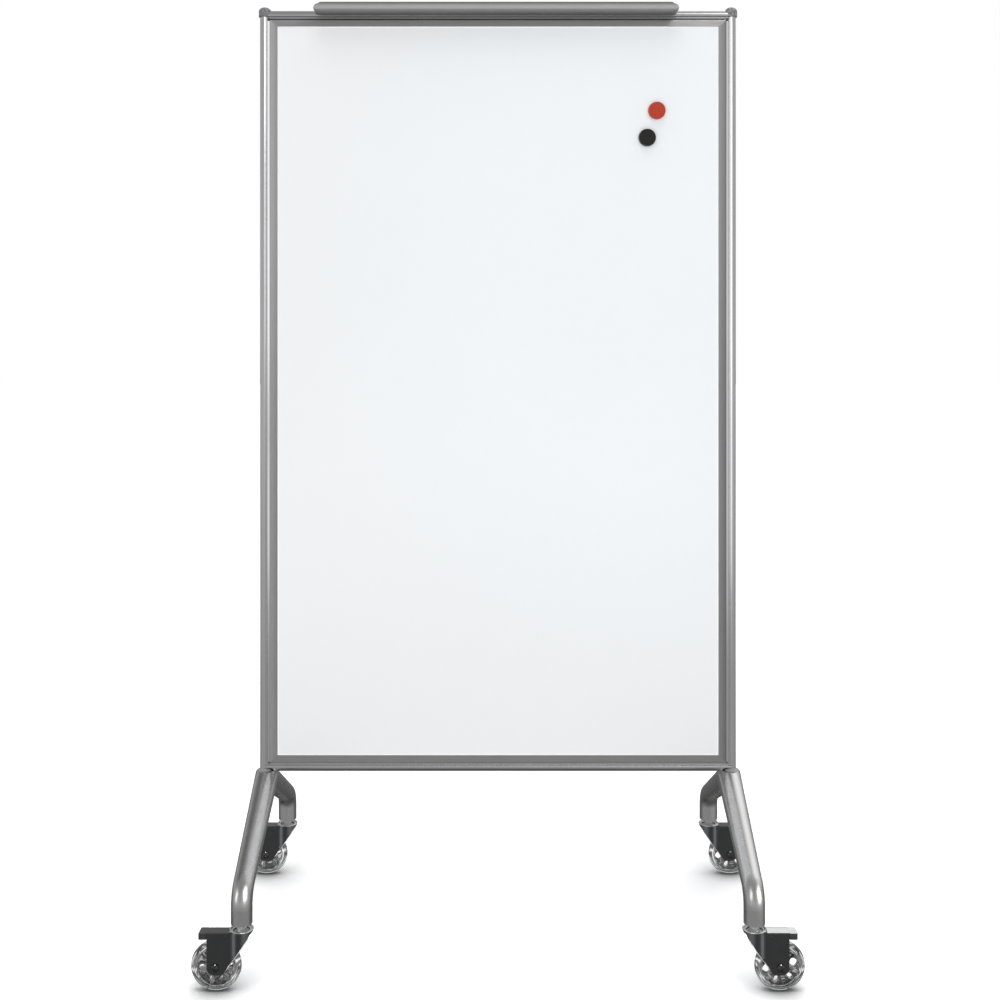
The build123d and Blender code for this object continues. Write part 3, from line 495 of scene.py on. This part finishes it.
def crown_collar(name, cx):
    """Smooth weld fillet that runs from the upright out to the land of the crown."""
    profile = [(9.2, 306.5), (9.2, 313.6), (9.75, 313.5), (10.2, 312.2), (11.0, 311.1), (12.2, 310.4), (13.7, 310.0),
               (15.0, 309.7), (15.5, 309.2), (15.3, 308.0), (13.0, 306.8)]
    count = 96
    points, faces = [], []
    n = len(profile)
    for i in range(count):
        a = 2 * math.pi * i / count
        ripple = 0.05 * math.sin(24 * a)
        for r, z in profile:
            lift = ripple if 309.5 < z < 313.55 else 0.0
            points.append(mm(cx + (r + lift) * math.cos(a), (r + lift) * math.sin(a), z))
    for i in range(count):
        j = (i + 1) % count
        for k in range(n):
            m = (k + 1) % n
            faces.append((i * n + k, i * n + m, j * n + m, j * n + k))
    return new_mesh(name, points, faces, "collar_weld", "stand")


for side, tag in ((-1, "left"), (1, "right")):
    crown_collar(f"crown_collar_{tag}", side * 461.0)


def rod_along(name, path, radius, material, body, around=8):
    """Thin round rod with closed ends along an open path in millimetres."""
    points, faces = [], []
    count = len(path)
    for i in range(count):
        here = Vector(path[i])
        run = (Vector(path[min(i + 1, count - 1)]) - Vector(path[max(i - 1, 0)])).normalized()
        first = run.cross(Vector((0.13, 0.21, 0.97))).normalized()
        second = run.cross(first).normalized()
        thick = radius * (0.35 if i in (0, count - 1) else 1.0)
        for k in range(around):
            a = 2 * math.pi * k / around
            points.append((here + (first * math.cos(a) + second * math.sin(a)) * thick) / 1000.0)
    for i in range(count - 1):
        for k in range(around):
            m = (k + 1) % around
            faces.append((i * around + k, i * around + m, (i + 1) * around + m, (i + 1) * around + k))
    faces.append(tuple(range(around))[::-1])
    faces.append(tuple((count - 1) * around + k for k in range(around)))
    return new_mesh(name, points, faces, material, body)


def wheel_web(name, cx, cy, body):
    """Six dished petals that widen the spokes and leave lens shaped windows between them."""
    points, faces = [], []
    radial, columns = 12, 12
    for petal in range(6):
        base = len(points)
        middle = math.radians(43.0 + 60.0 * petal)
        for sign in (-1, 1):
            for i in range(radial + 1):
                t = i / radial
                r = 15.2 + (32.9 - 15.2) * t
                bow = math.sin(math.pi * t)
                thick = 6.2 - 2.4 * bow
                for j in range(columns + 1):
                    u = -1.0 + 2.0 * j / columns
                    facing = math.degrees(middle) + (30.0 if u > 0 else -30.0)
                    open_wide = 17.5 if abs((facing - 13.0 + 90.0) % 180.0 - 90.0) < 1.0 else 9.0
                    a = middle + math.radians(29.6 - open_wide * bow ** 0.8) * u
                    y = sign * (thick - 0.9 * abs(u) ** 4 * bow)
                    points.append(mm(cx + r * math.cos(a), cy + y, 45.0 + r * math.sin(a)))
        row = columns + 1
        layer = (radial + 1) * row
        for i in range(radial):
            for j in range(columns):
                p = base + i * row + j
                faces.append((p, p + 1, p + row + 1, p + row))
                q = p + layer
                faces.append((q, q + row, q + row + 1, q + 1))
        for i in range(radial):
            p = base + i * row
            faces.append((p, p + row, p + row + layer, p + layer))
            q = base + i * row + columns
            faces.append((q, q + layer, q + row + layer, q + row))
        for j in range(columns):
            p = base + j
            faces.append((p, p + layer, p + layer + 1, p + 1))
            q = base + radial * row + j
            faces.append((q, q + 1, q + 1 + layer, q + layer))
    return new_mesh(name, points, faces, "clear_web", body)


def turned(name, cx, cy, profile, material, body, count=72):
    """Closed ring turned about an upright axis, profile given as (radius, height) in millimetres."""
    points, faces = [], []
    n = len(profile)
    for i in range(count):
        a = 2 * math.pi * i / count
        for r, z in profile:
            points.append(mm(cx + r * math.cos(a), cy + r * math.sin(a), z))
    for i in range(count):
        j = (i + 1) % count
        for k in range(n):
            m = (k + 1) % n
            faces.append((i * n + k, i * n + m, j * n + m, j * n + k))
    return new_mesh(name, points, faces, material, body)


def tray_lip(name, side):
    """Rolled face of the tray, a thin bowed shell that follows the cut back noses at both ends."""
    rows = [(-33.2, 1796.9), (-34.6, 1797.2), (-35.5, 1798.6), (-36.2, 1800.6), (-36.8, 1803.0), (-37.1, 1805.6),
            (-37.1, 1808.4), (-36.9, 1811.0), (-36.5, 1813.6), (-35.9, 1816.0), (-35.2, 1818.0), (-34.4, 1819.1),
            (-33.2, 1819.4)]
    reach = [(1796.9, 7.6), (1800.6, 4.4), (1804.0, 1.6), (1807.0, 0.3), (1809.0, 0.5), (1813.0, 5.2), (1816.5, 9.6),
             (1819.4, 13.4)]

    def cut(z):
        for (z0, c0), (z1, c1) in zip(reach, reach[1:]):
            if z <= z1:
                return c0 + (c1 - c0) * max(0.0, z - z0) / (z1 - z0)
        return reach[-1][1]

    shares = [0.0, 0.0012, 0.004, 0.010] + [0.02 + 0.96 * i / 60 for i in range(61)] + [0.990, 0.996, 0.9988, 1.0]
    tuck = {0: 1.5, 1: 0.7, 2: 0.25, 3: 0.05}
    points, faces = [], []
    count, n = len(shares), len(rows)
    for layer, depth in ((0, 0.0), (1, 1.0)):
        for i, t in enumerate(shares):
            back = tuck.get(min(i, count - 1 - i), 0.0)
            for y, z in rows:
                left, right = -361.4 + cut(z), 354.1 - cut(z)
                squeeze = 1.0 - depth * 0.02
                tall = 1808.1 + (z - 1808.1) * squeeze
                points.append(mm(left + (right - left) * t, -side * (y + back + depth), tall))
    layer = count * n
    for i in range(count - 1):
        for k in range(n - 1):
            p = i * n + k
            faces.append((p, p + n, p + n + 1, p + 1))
            q = p + layer
            faces.append((q, q + 1, q + n + 1, q + n))
    for i in range(count - 1):
        p, q = i * n, i * n + n - 1
        faces.append((p, p + layer, p + n + layer, p + n))
        faces.append((q, q + n, q + n + layer, q + layer))
    for k in range(n - 1):
        p, q = k, (count - 1) * n + k
        faces.append((p, p + 1, p + 1 + layer, p + layer))
        faces.append((q, q + layer, q + 1 + layer, q + 1))
    if side > 0:
        faces = [f[::-1] for f in faces]
    return new_mesh(name, points, faces, "tray_lip", "tray")


tray_lip("tray_lip", -1)
tray_lip("tray_lip_back", 1)

for tag, cx, cy, s in (("fl", -457.2, -252.3, -1), ("fr", 457.2, -252.3, 1), ("rl", -457.2, 252.3, -1),
                       ("rr", 457.2, 252.3, 1)):
    # fork_edge rods: bright chrome beads laid along the rolled edges of the black chrome fork, a painted highlight
    # line.
    for side, word in ((-1, "front"), (1, "back")):
        edge = []
        for i in range(31):
            u = -20.6 + (15.9 + 20.6) * i / 30
            edge.append((cx + s * u, cy + side * (math.sqrt(max(0.0, 20.7 ** 2 - u ** 2)) + 0.02),
                         107.2 - 1.44 * (u + 20.7)))
        for i in range(1, 5):
            u = 15.9 + (26.5 - 15.9) * i / 4
            edge.append((cx + s * u, cy + side * 13.25, 107.2 - 1.44 * (u + 20.7)))
        rod_along(f"fork_edge_{word}_{tag}", edge, 0.8, "rim_chrome", f"{tag}_swivel")
    turned(f"race_cover_{tag}", cx, cy, [(14.6, 106.7), (14.6, 107.5), (15.4, 108.2), (17.6, 108.5), (18.5, 108.1),
                                         (18.5, 106.9)], "race_bright", f"{tag}_swivel")
    wheel_web(f"wheel_web_{tag}", cx + s * 45.0, cy, f"{tag}_wheel")


# ---------------------------------------------------------------- stage

scene = bpy.context.scene
scene.view_settings.view_transform = "Standard"
scene.view_settings.look = "None"
scene.view_settings.exposure = 0.0
scene.view_settings.gamma = 1.0
scene.cycles.max_bounces = 14
scene.cycles.transmission_bounces = 14
scene.cycles.transparent_max_bounces = 12
scene.cycles.glossy_bounces = 6
scene.cycles.diffuse_bounces = 3
scene.cycles.caustics_reflective = False
scene.cycles.caustics_refractive = False
scene.cycles.sample_clamp_indirect = 4.0

floor_mesh = bpy.data.meshes.new("floor")
floor_mesh.from_pydata([(-30, -30, 0), (30, -30, 0), (30, 30, 0), (-30, 30, 0)], [], [(0, 1, 2, 3)])
floor = bpy.data.objects.new("floor", floor_mesh)
scene.collection.objects.link(floor)
floor_mat = bpy.data.materials.new("mat_floor")
floor_mat.use_nodes = True
g = Graph(floor_mat.node_tree)
coords = g.add("ShaderNodeTexCoord").outputs["Object"]
cloud = g.add("ShaderNodeTexNoise", in_Vector=coords, in_Scale=2.0, in_Detail=3.0)
tone = g.ramp(cloud.outputs[0], [(0.3, rgb(0.90, 0.90, 0.905)), (0.7, rgb(0.93, 0.93, 0.93))])
path = g.add("ShaderNodeLightPath")
bright = g.add("ShaderNodeVectorMath", operation="SCALE", in_0=tone)
g.put(bright.inputs["Scale"], g.math("ADD", g.math("MULTIPLY", path.outputs["Is Camera Ray"], 0.60), 1.0))
# Painted shade: the floor colour is darkened near the wheels and feet by an ambient occlusion node, a painted contact
# shadow.
near_contact = g.add("ShaderNodeAmbientOcclusion", samples=8, in_Distance=0.13)
painted_contact_shade = g.remap(near_contact.outputs["AO"], 0.40, 0.93, 0.30, 1.0)
pooled = g.add("ShaderNodeVectorMath", operation="SCALE", in_0=bright.outputs[0])
g.put(pooled.inputs["Scale"], painted_contact_shade)
diffuse = g.add("ShaderNodeBsdfDiffuse")
g.put(diffuse.inputs["Color"], pooled.outputs[0])
far = g.add("ShaderNodeVectorMath", operation="LENGTH", in_0=coords).outputs["Value"]
seen_share = g.math("MAXIMUM", path.outputs["Is Camera Ray"], 0.0)
glow_power = g.math("MULTIPLY", g.remap(far, 0.75, 2.6, 0.0, 1.1), seen_share)
glow = g.add("ShaderNodeEmission", in_Color=rgb(1.0, 1.0, 1.0))
g.put(glow.inputs["Strength"], glow_power)
lit = g.add("ShaderNodeAddShader", in_0=diffuse.outputs[0], in_1=glow.outputs[0])
# Painted reflection: in reflections the floor glows with a grey tone set by the ray's direction, and seen through the
# clear wheels it glows in light and dark bands.
incoming = g.add("ShaderNodeNewGeometry").outputs["Incoming"]
facing = g.add("ShaderNodeSeparateXYZ", in_Vector=incoming)
sink = facing.outputs[2]
mirror_tone = g.ramp(sink, [(0.00, rgb(0.60)), (0.06, rgb(0.50)), (0.13, rgb(0.44)), (0.25, rgb(0.34)),
                            (0.40, rgb(0.32)), (0.60, rgb(0.24)), (0.82, rgb(0.15)), (1.00, rgb(0.08))])
seen = g.add("ShaderNodeEmission")
g.put(seen.inputs["Color"], mirror_tone)
g.put(seen.inputs["Strength"], g.remap(facing.outputs[1], -0.35, 0.05, 0.40, 1.0))
through_tone = g.ramp(sink, [(0.00, rgb(0.55)), (0.10, rgb(0.14)), (0.24, rgb(0.12)), (0.29, rgb(0.95)),
                             (0.33, rgb(1.0)), (0.37, rgb(0.20)), (0.45, rgb(0.18)), (0.50, rgb(0.55)),
                             (0.54, rgb(0.95)), (0.58, rgb(0.12)), (0.75, rgb(0.05)), (1.00, rgb(0.03))])
past = g.add("ShaderNodeEmission", in_Strength=1.0)
g.put(past.inputs["Color"], through_tone)
pick = g.add("ShaderNodeMixShader")
g.put(pick.inputs[0], path.outputs["Is Glossy Ray"])
g.put(pick.inputs[1], lit.outputs[0])
g.put(pick.inputs[2], seen.outputs[0])
pick2 = g.add("ShaderNodeMixShader")
g.put(pick2.inputs[0], path.outputs["Is Transmission Ray"])
g.put(pick2.inputs[1], pick.outputs[0])
g.put(pick2.inputs[2], past.outputs[0])
out = g.add("ShaderNodeOutputMaterial")
g.put(out.inputs[0], pick2.outputs[0])
floor_mat.cycles.emission_sampling = "NONE"
floor_mesh.materials.append(floor_mat)

world = bpy.data.worlds.new("studio")
scene.world = world
world.use_nodes = True
world.cycles.sampling_method = "NONE"
g = Graph(world.node_tree)
direction = g.add("ShaderNodeTexCoord").outputs["Generated"]
axes = g.add("ShaderNodeSeparateXYZ", in_Vector=direction)
x, y, z = axes.outputs[0], axes.outputs[1], axes.outputs[2]


def lobe(toward, near, far, strength):
    """A soft round patch of light in the direction given, angles in degrees."""
    aim = Vector(toward).normalized()
    dot = g.add("ShaderNodeVectorMath", operation="DOT_PRODUCT", in_0=direction, in_1=tuple(aim)).outputs["Value"]
    return g.remap(dot, math.cos(math.radians(far)), math.cos(math.radians(near)), 0.0, strength)


base = g.ramp(z, [(0.00, rgb(0.46)), (0.25, rgb(0.42)), (0.50, rgb(0.36)), (0.80, rgb(0.30)), (1.00, rgb(0.34))])
base_value = g.add("ShaderNodeSeparateColor", in_Color=base).outputs[0]
gloss = base_value
gloss = g.math("ADD", gloss, lobe((0.62, 0.42, 0.66), 8.0, 34.0, 0.80))
gloss = g.math("ADD", gloss, lobe((0.32, 0.32, 0.89), 8.0, 32.0, 0.32))
gloss = g.math("SUBTRACT", gloss, lobe((-0.62, 0.40, 0.67), 6.0, 30.0, 0.16))
path = g.add("ShaderNodeLightPath")
soft = g.ramp(g.remap(z, -1.0, 1.0, 0.0, 1.0), [(0.0, rgb(0.80)), (0.50, rgb(0.82, 0.823, 0.828)),
                                               (0.75, rgb(0.56, 0.563, 0.57)), (1.0, rgb(0.22, 0.22, 0.225))])
clear = g.ramp(g.math("ABSOLUTE", z), [(0.00, rgb(0.55)), (0.10, rgb(0.14)), (0.24, rgb(0.12)), (0.32, rgb(0.90)),
                                       (0.40, rgb(0.30)), (0.50, rgb(0.80)), (0.60, rgb(0.10)), (1.00, rgb(0.03))])
lightest = g.mix(path.outputs["Is Glossy Ray"], soft, gloss)
lightest = g.mix(path.outputs["Is Transmission Ray"], lightest, clear)
lightest = g.mix(path.outputs["Is Camera Ray"], lightest, rgb(1.0))
background = g.add("ShaderNodeBackground", in_Strength=1.0)
g.put(background.inputs[0], lightest)
out = g.add("ShaderNodeOutputWorld")
g.put(out.inputs[0], background.outputs[0])


def area(name, place, aim, size_x, size_y, power, colour=(1, 1, 1), glossy=True, diffuse=True, only=(), extra=()):
    lamp = bpy.data.lights.new(name, "AREA")
    lamp.shape = "RECTANGLE"
    lamp.size, lamp.size_y = size_x, size_y
    lamp.energy = power
    lamp.color = colour
    obj = bpy.data.objects.new(name, lamp)
    scene.collection.objects.link(obj)
    obj.location = place
    obj.rotation_mode = "QUATERNION"
    obj.rotation_quaternion = (Vector(aim) - Vector(place)).to_track_quat("-Z", "Y")
    obj.visible_camera = False
    obj.visible_glossy = glossy
    obj.visible_diffuse = diffuse
    obj.visible_transmission = False
    if only:
        group = bpy.data.collections.new(name + "_receivers")
        for node in only:
            group.objects.link(NODES[node])
        for piece in extra:
            group.objects.link(bpy.data.objects[piece])
        obj.light_linking.receiver_collection = group
    return obj


def card(name, place, aim, size_x, size_y, radiance, only, extra=()):
    """Light seen only in the reflections of the named pieces."""
    return area(name, place, aim, size_x, size_y, radiance * math.pi * size_x * size_y, diffuse=False, only=only,
                extra=extra)


LEGS = ("foot_left", "foot_right")
FORKS = tuple(f"caster_{c}_{part}" for c in CASTERS for part in ("fork", "stem"))
EDGES = tuple(f"fork_edge_{word}_{tag}" for tag in ("fl", "fr", "rl", "rr") for word in ("front", "back"))
area("top_soft", (0.10, -0.20, 5.2), (0.0, -0.1, 0.0), 4.2, 3.4, 150.0, glossy=False)
area("front_low", (0.0, -3.0, 0.45), (0.0, 0.0, 0.5), 2.6, 0.8, 18.0, glossy=False)
area("key_right", (1.13, -1.63, 2.45), (0.2, 0.0, 0.9), 0.55, 0.55, 6.5, glossy=False)
area("key_left", (-1.30, -1.30, 1.95), (0.0, 0.0, 0.7), 0.45, 0.45, 3.0, glossy=False)
area("lid_light", (0.95, -0.95, 2.75), (0.3, 0.0, 1.79), 0.5, 0.5, 20.0, only=("trim_top",))
area("lid_light_rail", (0.95, -0.95, 2.75), (0.3, 0.0, 1.79), 0.9, 0.9, 3.2, only=("top_rail",))
card("bend_ll", (-2.05, -1.35, 0.76), (-0.457, -0.265, 0.175), 0.80, 1.00, 1.5, ("foot_left",))
card("bend_lr", (0.86, -1.50, 1.10), (-0.457, -0.265, 0.175), 1.30, 1.40, 3.0, ("foot_left",))
card("bend_rl", (-0.72, -1.61, 1.02), (0.457, -0.265, 0.175), 0.80, 1.00, 1.4, ("foot_right",))
card("bend_rr", (2.00, -1.30, 0.89), (0.457, -0.265, 0.175), 1.40, 1.40, 3.0, ("foot_right",))
card("glint_top", (0.0, -1.35, 2.3), (0.0, -0.2, 0.1), 1.5, 0.5, 5.0, FORKS)
card("edge_top", (0.0, -1.35, 2.3), (0.0, -0.2, 0.1), 2.0, 0.9, 22.0, ("leg_plugs",), EDGES)
card("edge_low_left", (-1.9, -1.6, 0.35), (-0.457, -0.25, 0.08), 1.2, 0.8, 6.0, ("caster_fl_stem",), EDGES)
card("edge_low_right", (1.9, -1.6, 0.35), (0.457, -0.25, 0.08), 1.2, 0.8, 6.0, ("caster_fr_stem",), EDGES)
for tag, cx, cy in (("fl", -0.62, -0.30), ("fr", 0.62, -0.30), ("rl", -0.62, 0.20), ("rr", 0.62, 0.20)):
    card(f"arc_{tag}", (cx, cy, 1.5), (cx * 0.81, cy, 0.045), 0.6, 0.40, 45.0, (f"caster_{tag}_fasteners",))
area("rim_back_right", (1.1, 1.68, 1.08), (0.54, -0.25, 0.1), 0.75, 0.55, 4.6, only=("caster_fr_pedal",))
card("tube_left_high", (-0.14, -2.85, 2.75), (-0.461, 0.0, 1.75), 1.5, 1.6, 1.6, ("upright_left",))
card("tube_left_mid", (-0.14, -2.85, 1.50), (-0.461, 0.0, 1.35), 1.5, 0.8, 0.55, ("upright_left",))
card("tube_right_high", (0.49, -2.85, 2.20), (0.461, 0.0, 1.45), 2.1, 2.7, 1.2, ("upright_right",))
card("tube_right_low", (0.49, -2.85, 0.52), (0.461, 0.0, 0.60), 2.1, 0.7, 0.65, ("upright_right",))
card("strip_left_high", (-0.96, -2.85, 2.15), (-0.453, 0.0, 1.4), 1.4, 2.5, 0.75, ("leg_plugs",), ("infill_left",))
card("strip_left_low", (-0.96, -2.85, 0.42), (-0.453, 0.0, 0.6), 1.4, 0.6, 0.50, ("leg_plugs",), ("infill_left",))
card("strip_right_high", (0.96, -2.85, 2.20), (0.453, 0.0, 1.4), 1.4, 2.4, 0.32, ("leg_plugs",), ("infill_right",))
card("strip_right_low", (0.96, -2.85, 0.50), (0.453, 0.0, 0.6), 1.4, 1.0, 0.22, ("leg_plugs",), ("infill_right",))
card("trim_card_left", (-0.96, -2.85, 2.25), (-0.44, 0.0, 1.4), 1.8, 2.1, 0.45, ("trim_left",))
card("trim_card_right", (0.96, -2.85, 2.35), (0.44, 0.0, 1.4), 1.8, 1.9, 0.50, ("trim_right",))
card("rail_streak", (0.9, -2.9, 0.72), (0.1, 0.0, 0.32), 2.6, 0.45, 1.5, ("bottom_rail",))
card("tray_front", (0.35, -2.7, 1.75), (0.0, -0.035, 1.80), 3.0, 2.2, 0.26, ("marker_tray", "tray_end_caps"), ("tray_lip",))


# ---------------------------------------------------------------- camera

cam_data = bpy.data.cameras.new("photo_camera")
cam = bpy.data.objects.new("photo_camera", cam_data)
scene.collection.objects.link(cam)
cam.location = (0.0, -2.566, 1.1626)
cam.rotation_euler = (math.radians(90.0), 0.0, 0.0)
cam_data.sensor_width = 36.0
cam_data.sensor_fit = "AUTO"
cam_data.lens = 46.69
cam_data.clip_start = 0.05
cam_data.clip_end = 60.0
scene.camera = cam


def shift_only_at_home(prop, amount):
    """The lens is shifted only where the camera stands in its own place."""
    curve = cam_data.driver_add(prop)
    while curve.modifiers:
        curve.modifiers.remove(curve.modifiers[0])
    curve.driver.type = "SUM"
    var = curve.driver.variables.new()
    var.type = "TRANSFORMS"
    target = var.targets[0]
    target.id = cam
    target.transform_type = "LOC_Y"
    target.transform_space = "WORLD_SPACE"
    home = -2.566
    for place, value in ((home - 0.08, 0.0), (home - 0.04, amount), (home + 0.04, amount), (home + 0.08, 0.0)):
        key = curve.keyframe_points.insert(place, value)
        key.interpolation = "LINEAR"
    curve.extrapolation = "CONSTANT"


shift_only_at_home("shift_x", 0.002)
shift_only_at_home("shift_y", -0.162)
bpy.context.view_layer.update()
